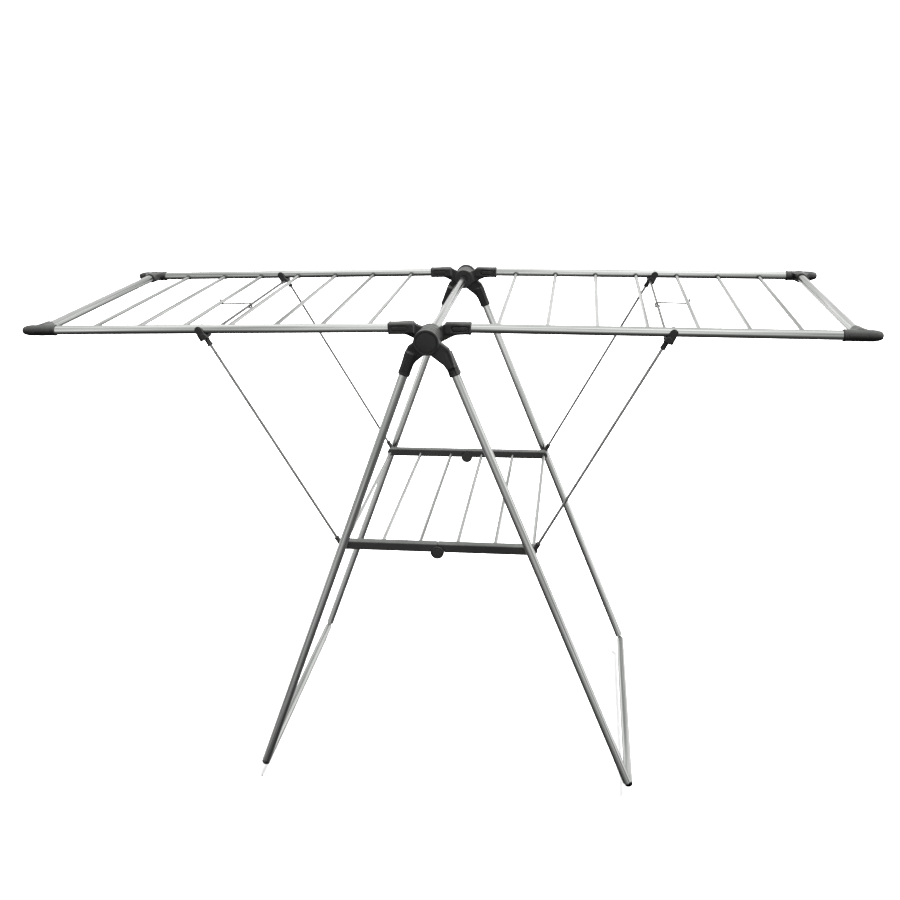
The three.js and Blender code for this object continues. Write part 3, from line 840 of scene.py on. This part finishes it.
def make_legs(side):
    name, where = side.name, side.leg
    foot_low, foot_high = span(f"{name}_foot_tube", where)
    foot_x, _, foot_z = (foot_low + foot_high) / 2
    depth = foot_high[1] + CROSS_TUBE_INSET
    shelf_pivot = (where.inverted() @ pivot(f"{name}_strut_swing")) / MM
    for end_name, end in side.ends.items():
        node = f"{name}_{end_name}_leg"
        low, high = span(node, where)
        mesh = tube(node + "_tube", TUBE_RADIUS, TUBE_WALL, high[0] - low[0])
        start = at(where, low[0], end * depth, foot_z)
        place(node + "_tube", mesh, start, "brushed_aluminium", node)
        level = OUTERMOST_LEVEL if end < 0 else OUTERMOST_LEVEL - 1
        place_hub_arm(node + "_hub_arm", where, end, level, leg_arm_outline, True)
        centre = (foot_x, end * depth, foot_z)
        place_connector(f"{name}_{end_name}_foot", where, end, centre, is_foot=True)
        inner_end = min(abs(low[1]), abs(high[1]))
        length = depth - inner_end
        turn = Matrix.Rotation(-end * math.pi / 2, 4, "Z")
        here = at(where, shelf_pivot.x, end * depth, shelf_pivot.z, turn)
        bevel = 0.4
        profile = [
            (length, 0), (length, SHELF_PIN_RADIUS - bevel), (length - bevel, SHELF_PIN_RADIUS),
            (bevel, SHELF_PIN_RADIUS), (0, 0),
        ]
        mesh = turned(node + "_shelf_pin", profile, sides=32)
        place(f"{name}_{end_name}_shelf_pin", mesh, here, "steel_rod", node, stands_for=False)
    place_tube(f"{name}_foot_tube", where, 1, TUBE_RADIUS, TUBE_WALL)


# ---- Struts and latches ----


def arc(centre, radius, start_deg, stop_deg, steps, along, across):
    """Points on an arc in the plane of two unit directions."""
    centre, along, across = (np.asarray(v, float) for v in (centre, along, across))
    angles = np.radians(np.linspace(start_deg, stop_deg, steps + 1))
    return [centre + radius * (along * math.cos(a) + across * math.sin(a)) for a in angles]


def strut_clip(side, end, rod_depth):
    """Distance function of the clip at the top of a strut, in the strut's space."""
    to_strut = side.strut.inverted() @ side.wing
    rail_low, rail_high = span(f"{side.name}_wing_front_rail", side.wing)
    rail_depth = abs(rail_low[1] + rail_high[1]) / 2
    rail_rise = (rail_low[2] + rail_high[2]) / 2
    ear = to_strut.to_3x3() @ Vector((side.cross_rod.x + CLIP_SETBACK, 0, rail_rise))
    ear = ear + to_strut.translation / MM
    along_rail = to_strut.to_3x3() @ Vector((1, 0, 0))
    top = (ear.x, ear.z)
    foot = (ear.x - CLIP_EAR_LENGTH, CLIP_EAR_FOOT_OFFSET)
    outer = rail_depth + TUBE_RADIUS + CLIP_EAR_GAP
    inner = rail_depth - TUBE_RADIUS - CLIP_EAR_GAP
    rod_end = side.strut_length
    past_foot = foot[0] - 20
    fin_outline = [(rod_end - CLIP_FIN_LENGTH, 0), (rod_end, 0), (rod_end, CLIP_FIN_REACH)]

    def distance(x, y, z):
        depth = y * end
        square_foot = foot[0] - x
        plate = stadium(x, z, top, (past_foot, foot[1]), CLIP_EAR_RADIUS)
        plate = both(plate, square_foot, 0.8)
        groove_depth = slab(depth, outer + CLIP_EAR_THICKNESS - 0.5, outer + 9)
        groove = both(np.abs(plate + 1.9) - 0.5, groove_depth)
        outer_ear = both(plate, slab(depth, outer, outer + CLIP_EAR_THICKNESS), 1.0)
        outer_ear = without(outer_ear, groove, 0.3)
        inner_ear = both(plate, slab(depth, inner - CLIP_EAR_THICKNESS, inner), 1.0)
        across_rail = slab(depth, inner - CLIP_EAR_THICKNESS, outer + CLIP_EAR_THICKNESS)
        web = stadium(x, z, (rod_end, 0), (past_foot, 0), CLIP_WEB_RADIUS)
        web = both(both(web, square_foot, 0.8), across_rail, 1.2)
        fin_sides = np.abs(depth - rod_depth) - CLIP_FIN_HALF_WIDTH
        fin = both(polygon(x, z, fin_outline), fin_sides, 0.8)
        from_rod = np.hypot(depth - rod_depth, z)
        collar = 0.4 * np.clip((rod_end - CLIP_SLEEVE_LENGTH + 4 - x) / 0.8, 0, 1)
        sleeve_reach = slab(x, rod_end - CLIP_SLEEVE_LENGTH, rod_end)
        sleeve = both(from_rod - SLEEVE_RADIUS - collar, sleeve_reach, 1.0)
        shape = either(outer_ear, inner_ear)
        for part in (web, sleeve, fin):
            shape = either(shape, part, 1.5)
        off = (x - ear.x) * -along_rail.z + (z - ear.z) * along_rail.x
        rail_space = np.hypot(depth - rail_depth, off) - TUBE_RADIUS - FIT_GAP
        shape = without(shape, rail_space, 0.5)
        return without(shape, both(from_rod - ROD_RADIUS, rod_end - STRUT_BEND_RADIUS - x), 0.3)

    low = np.array([rod_end - CLIP_SLEEVE_LENGTH - 2, end * (inner - 5), -14])
    high = np.array([ear.x + 9, end * (outer + 6), 10])
    return distance, np.minimum(low, high), np.maximum(low, high)


def strut_end(end, rod_depth):
    """Distance function of the eye on the shelf pin, with a sleeve up the rod."""

    def distance(x, y, z):
        across = y * end - rod_depth
        eye = both(np.hypot(x, z) - STRUT_EYE_RADIUS, np.abs(across) - STRUT_EYE_THICKNESS / 2, 1.2)
        from_rod = np.hypot(across, z)
        collar = 0.4 * np.clip((x - STRUT_SLEEVE_END + 4) / 0.8, 0, 1)
        sleeve = both(from_rod - SLEEVE_RADIUS - collar, slab(x, 3, STRUT_SLEEVE_END), 1.0)
        shape = either(eye, sleeve, 2.5)
        shape = both(shape, either(np.abs(across) - STRUT_EYE_THICKNESS / 2, 5.5 - x), 0.5)
        shape = without(shape, np.hypot(x, z) - SHELF_PIN_RADIUS - FIT_GAP / 2, 0.4)
        return without(shape, both(from_rod - ROD_RADIUS, 9.0 - x), 0.3)

    return distance


def make_strut(side):
    name, where = side.name, side.strut
    low, high = span(f"{name}_strut_frame", where)
    depth = high[1] - ROD_RADIUS
    corner = side.strut_length - STRUT_BEND_RADIUS
    turn_depth = depth - STRUT_BEND_RADIUS
    x_way, y_way = (1, 0, 0), (0, 1, 0)
    path = [
        (low[0], -depth, 0),
        *arc((corner, -turn_depth, 0), STRUT_BEND_RADIUS, -90, 0, 12, x_way, y_way),
        *arc((corner, turn_depth, 0), STRUT_BEND_RADIUS, 0, 90, 12, x_way, y_way),
        (low[0], depth, 0),
    ]
    mesh = swept(f"{name}_strut_rod", path, ROD_RADIUS)
    place(f"{name}_strut_rod", mesh, where, "steel_rod", f"{name}_strut_frame")
    for end_name, end in side.ends.items():
        node = f"{name}_{end_name}_strut_clip"
        distance, clip_low, clip_high = strut_clip(side, end, depth)
        mesh = moulded(node + "_moulding", distance, clip_low, clip_high, step=0.6)
        place(node + "_moulding", mesh, where, "black_plastic", node)
        node = f"{name}_{end_name}_strut_end"
        box_low = (-8, end * depth - 6, -8)
        box_high = (STRUT_SLEEVE_END + 1.5, end * depth + 6, 8)
        mesh = moulded(node + "_moulding", strut_end(end, depth), box_low, box_high, step=0.6)
        place(node + "_moulding", mesh, where, "black_plastic", node)


def make_latch(side):
    """The wire link: wrapped round the cross rod, and hooked under a rung."""
    name, where = side.name, side.wing
    node = f"{name}_latch_link"
    low, high = span(node, where)
    depth = (low[1] + high[1]) / 2
    rung_low, rung_high = span(f"{name}_wing_rung_{LATCHED_RUNG}", where)
    rung = (rung_low + rung_high) / 2
    ring = ROD_RADIUS + LATCH_GAP + WIRE_RADIUS
    hook = RUNG_RADIUS + LATCH_GAP + WIRE_RADIUS
    rod = (side.cross_rod.x, depth, side.cross_rod.z)
    x_way, z_way = (1, 0, 0), (0, 0, 1)
    path = [
        *arc(rod, ring, 345, 90, 28, x_way, z_way),
        *arc((rung[0], depth, rung[2]), hook, 270, 395, 16, x_way, z_way),
    ]
    mesh = swept(f"{name}_latch_wire", path, WIRE_RADIUS, 16)
    place(f"{name}_latch_wire", mesh, where, "steel_rod", node)


# ---- Shelf ----


def shelf_bar(end, reach, bar_inner, bar_outer):
    """Distance function of a shelf bar with its half of the knuckle at the middle."""
    lap = (bar_inner + bar_outer) / 2
    is_outer = end < 0
    knuckle_face = bar_outer + KNUCKLE_PROUD
    if is_outer:
        own = (lap + KNUCKLE_GAP / 2, knuckle_face)
        cleared = (bar_inner, own[0])
    else:
        own = (bar_inner, lap - KNUCKLE_GAP / 2)
        cleared = (own[1], bar_outer)
    hinge = (0.0, -BAR_HALF_HEIGHT - KNUCKLE_GAP)

    def distance(x, y, z):
        depth = y * end
        sides = slab(z, -BAR_HALF_HEIGHT, BAR_HALF_HEIGHT)
        straight = both(slab(x, SEAM_HALF_GAP, reach), sides, 1.6)
        profile = either(straight, disc(x, z, (reach, 0), BAR_HALF_HEIGHT))
        shape = both(profile, slab(depth, bar_inner, bar_outer), 1.8)
        round_hinge = disc(x, z, hinge, KNUCKLE_RADIUS)
        other_half = slab(depth, cleared[0] - 1, cleared[1] + 2)
        shape = without(shape, both(round_hinge - KNUCKLE_GAP, other_half))
        knuckle = both(round_hinge, slab(depth, *own), 1.0)
        if is_outer:
            ring = both(slab(round_hinge, -3.9, -2.7), slab(depth, knuckle_face - 0.8, bar_outer + 3))
            knuckle = without(knuckle, ring, 0.4)
            gutter = both(slab(round_hinge, -0.4, 1.9), slab(depth, bar_outer - 2.4, bar_outer + 2))
            shape = without(shape, gutter, 0.3)
        return either(shape, knuckle)

    return distance


def make_shelf(side):
    name, where = side.name, side.shelf
    node = f"{name}_shelf_half"
    _, high = span(node, where)
    reach = side.shelf_reach
    bar_outer = high[1]
    bar_inner = bar_outer - BAR_DEPTH
    xs = np.concatenate([  # close together at the hinge and at the round end
        ticks(-14, 16, 0.6), ticks(24, reach - 10, 12), ticks(reach - 2, reach + 9, 0.7),
    ])
    for end_name, end in side.ends.items():
        title = f"{name}_shelf_{end_name}_bar"
        distance = shelf_bar(end, reach, bar_inner, bar_outer)
        ys = sorted((end * (bar_inner - 2), end * (bar_outer + 2)))
        mesh = moulded(title, distance, (xs, ys[0], -23), (xs, ys[1], 11), step=0.7)
        place(title, mesh, where, "dark_paint", node)
    half = bar_inner + SHELF_RUNG_BITE
    for number, share in enumerate(SHELF_RUNG_SHARES, start=1):
        title = f"{name}_shelf_rung_{number}"
        mesh = tube(title, RUNG_RADIUS, RUNG_WALL, 2 * half)
        here = at(where, share * reach, -half, 0, ALONG_DEPTH)
        place(title, mesh, here, "brushed_aluminium", node)


# ---- The rack ----

make_hub()
# One black saddle of painted shade, shared by every rung's hole in the rails
shared_shade_saddle = grommet()
for rack_side in SIDES:
    make_wing(rack_side, shared_shade_saddle)
    make_legs(rack_side)
    make_strut(rack_side)
    make_latch(rack_side)
    make_shelf(rack_side)


# ---- Studio ----


def make_floor():
    size = 400.0
    corners = [(-size, -size, 0), (size, -size, 0), (size, size, 0), (-size, size, 0)]
    mesh = bpy.data.meshes.new("floor")
    mesh.from_pydata(corners, [], [(0, 1, 2, 3)])
    floor = bpy.data.objects.new("floor", mesh)
    floor.location.z = cad_box[0].z
    bpy.context.scene.collection.objects.link(floor)
    n = Nodes("pale_floor")
    n.put(n.shader.inputs["Base Color"], grey(0.9))
    n.put(n.shader.inputs["Roughness"], 1.0)
    n.put(n.shader.inputs["Specular IOR Level"], 0.0)
    mesh.materials.append(n.material)
    floor.visible_glossy = False
    floor.visible_diffuse = False


def make_sky():
    """What reflections and the camera see: white at the horizon, greyer above it, brightest
    overhead and dark below, with darker and brighter headings. It lights no matt surface."""
    world = bpy.data.worlds.new("studio")
    bpy.context.scene.world = world
    world.use_nodes = True
    tree = world.node_tree
    background = tree.nodes["Background"]

    def add(kind, *inputs, **settings):
        node = tree.nodes.new(kind)
        for key, value in settings.items():
            setattr(node, key, value)
        for socket, value in zip(node.inputs, inputs):
            if isinstance(value, bpy.types.NodeSocket):
                tree.links.new(value, socket)
            else:
                socket.default_value = value
        return node

    def ramp(value, stops):
        node = add("ShaderNodeValToRGB", value)
        elements = node.color_ramp.elements
        while len(elements) < len(stops):
            elements.new(0.5)
        for element, (place, level) in zip(elements, stops):
            element.position = place
            element.color = grey(level)
        return node.outputs["Color"]

    def combine(how, first, second):
        node = add("ShaderNodeMix", data_type="RGBA", blend_type=how)
        node.inputs["Factor"].default_value = 1.0
        tree.links.new(first, node.inputs[6])
        tree.links.new(second, node.inputs[7])
        return node.outputs[2]

    parts = add("ShaderNodeSeparateXYZ", add("ShaderNodeTexCoord").outputs["Generated"])
    height = add("ShaderNodeMath", parts.outputs["Z"], 0.5, 0.5, operation="MULTIPLY_ADD")
    by_height = ramp(height.outputs[0], [  # from straight down at 0 to straight up at 1
        (0.0, 0.05), (0.067, 0.08), (0.146, 0.13), (0.213, 0.24), (0.289, 0.45), (0.371, 0.72),
        (0.456, 1.0), (0.56, 1.05), (0.62, 0.74), (0.8, 0.74), (0.9, 1.0), (0.955, 1.6), (1.0, 1.3),
    ])
    heading = add("ShaderNodeMath", parts.outputs["X"], parts.outputs["Y"], operation="ARCTAN2")
    turn = add("ShaderNodeMath", heading.outputs[0], 1 / (2 * math.pi), 0.5, operation="MULTIPLY_ADD")
    by_heading = ramp(turn.outputs[0], [  # once round, from the front at 0 and 1
        (0.0, 1.0), (0.1, 0.9), (0.17, 0.5), (0.23, 0.85), (0.33, 0.85), (0.41, 1.0), (0.6, 1.0),
        (0.68, 1.15), (0.76, 1.15), (0.83, 0.6), (0.9, 1.0), (1.0, 1.0),
    ])
    level = combine("MULTIPLY", by_height, by_heading)
    horizon = ramp(height.outputs[0], [(0.44, 0.0), (0.475, 1.05), (0.6, 1.05), (0.66, 0.0)])
    tree.links.new(combine("LIGHTEN", level, horizon), background.inputs["Color"])
    world.cycles_visibility.diffuse = False


def make_lamp(name, towards, strength, softness):
    """A far, wide lamp that shines from a direction, and isn't seen in reflections."""
    data = bpy.data.lights.new(name, "SUN")
    data.energy = strength
    data.angle = math.radians(softness)
    lamp = bpy.data.objects.new(name, data)
    bpy.context.scene.collection.objects.link(lamp)
    lamp.visible_glossy = False
    lamp.rotation_euler = Vector(towards).to_track_quat("Z", "Y").to_euler()


def make_camera():
    """The view from the front and a little to the right, from above the rails."""
    data = bpy.data.cameras.new("camera")
    data.lens = 40.39
    data.sensor_width = 36.0
    camera = bpy.data.objects.new("camera", data)
    bpy.context.scene.collection.objects.link(camera)
    camera.location = (0.2549, -1.9082, 1.3346)
    yaw, pitch, roll = (math.radians(a) for a in (7.777, -20.448, -1.509))
    ahead = Vector((-math.sin(yaw) * math.cos(pitch), math.cos(yaw) * math.cos(pitch), math.sin(pitch)))
    level = Vector((math.cos(yaw), math.sin(yaw), 0))
    over = level.cross(ahead)
    right = level * math.cos(roll) + over * math.sin(roll)
    up = over * math.cos(roll) - level * math.sin(roll)
    camera.rotation_euler = Matrix((right, up, -ahead)).transposed().to_euler()
    bpy.context.scene.camera = camera


make_floor()
make_sky()
make_lamp("key_lamp", (0.35, 0.08, 0.93), 14.0, 40)
make_lamp("fill_lamp", (0.5, -0.85, 0.3), 0.8, 60)
make_camera()
bpy.context.scene.view_settings.view_transform = "Standard"
